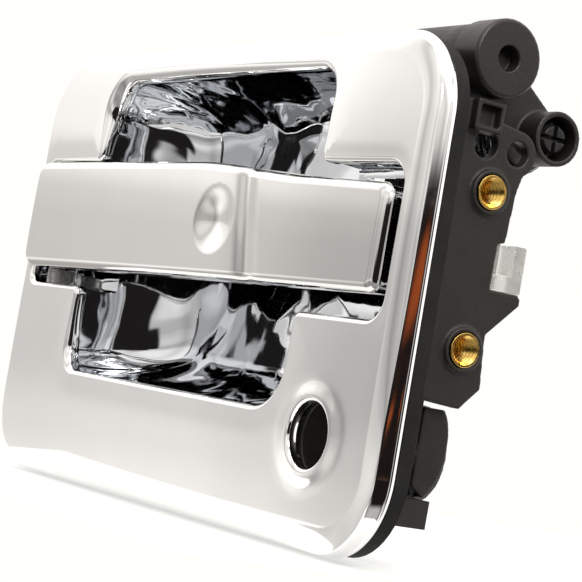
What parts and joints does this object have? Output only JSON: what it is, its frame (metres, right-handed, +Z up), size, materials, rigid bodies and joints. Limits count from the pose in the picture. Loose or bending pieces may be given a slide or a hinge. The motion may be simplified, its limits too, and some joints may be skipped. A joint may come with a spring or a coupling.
{
  "type": "car door handle",
  "caption": "Outside door handle with chromed bezel, hand recess and hinged pull strap that turns a weighted bellcrank behind it; open bore for a lock cylinder.",
  "frame": {"origin": "on the gasket's back face, where it seats on the door skin, at the middle of the strip under the hand recess", "axes": "+X along the strap from its hinge to its free end, +Y into the door, +Z up"},
  "size_m": [0.2118, 0.0697, 0.1323],
  "materials": {
    "bezel_chrome": "mirror chrome plate on moulded ABS",
    "bowl_chrome": "mirror chrome plate on moulded ABS",
    "strap_chrome": "mirror chrome plate on moulded ABS",
    "gasket_foam": "closed-cell foam, matte",
    "black_nylon": "glass-filled nylon, fine grain",
    "black_weight": "black phosphate coat, satin",
    "black_steel": "blackened, oiled",
    "insert_brass": "turned and threaded",
    "natural_nylon": "unfilled nylon, slightly waxy",
    "bright_steel": "drawn wire and ground pin",
    "bumper_rubber": "moulded rubber",
    "screw_zinc": "bright zinc plate"
  },
  "bodies": {
    "housing": {"bezel": "bezel_chrome", "recess_bowl": "bowl_chrome", "door_gasket": "gasket_foam", "carrier_frame": "black_nylon", "mechanism_bracket": "black_nylon", "lock_cylinder_housing": "black_nylon", "bellcrank_pivot_pin": "black_steel", "threaded_insert_upper": "insert_brass", "threaded_insert_lower": "insert_brass", "rod_guide_clip": "natural_nylon", "pivot_bush_upper": "natural_nylon", "pivot_bush_lower": "natural_nylon", "strap_pivot_pin": "bright_steel", "return_spring": "bright_steel", "strap_bumper_upper": "bumper_rubber", "strap_bumper_lower": "bumper_rubber", "carrier_screw_1": "screw_zinc", "carrier_screw_2": "screw_zinc", "carrier_screw_3": "screw_zinc", "carrier_screw_4": "screw_zinc", "bracket_screw_1": "screw_zinc", "bracket_screw_2": "screw_zinc"},
    "strap": {"strap_cover": "strap_chrome", "strap_core": "strap_chrome", "strap_screw_1": "screw_zinc", "strap_screw_2": "screw_zinc"},
    "bellcrank": {"bellcrank_lever": "black_nylon", "counterweight": "black_weight", "latch_rod_clip": "natural_nylon"}
  },
  "joints": [
    {"name": "strap_pull", "type": "hinge", "parent": "housing", "child": "strap", "pos_m": [-0.09, -0.0035, 0.0707], "axis": [0, 0, -1], "range_deg": [0, 6.5], "stiffness_Nm_per_rad": 2, "springref_deg": -28.65},
    {"name": "bellcrank_turn", "type": "hinge", "parent": "housing", "child": "bellcrank", "pos_m": [0.0794, 0.0342, 0.102], "axis": [-1, 0, 0], "range_deg": [0, 31.3], "stiffness_Nm_per_rad": 0.06, "springref_deg": -34.38, "deforming": ["return_spring"]}
  ],
  "couplings": [
    {"joint": "bellcrank_turn", "follows": "strap_pull", "ratio": 4.8}
  ]
}
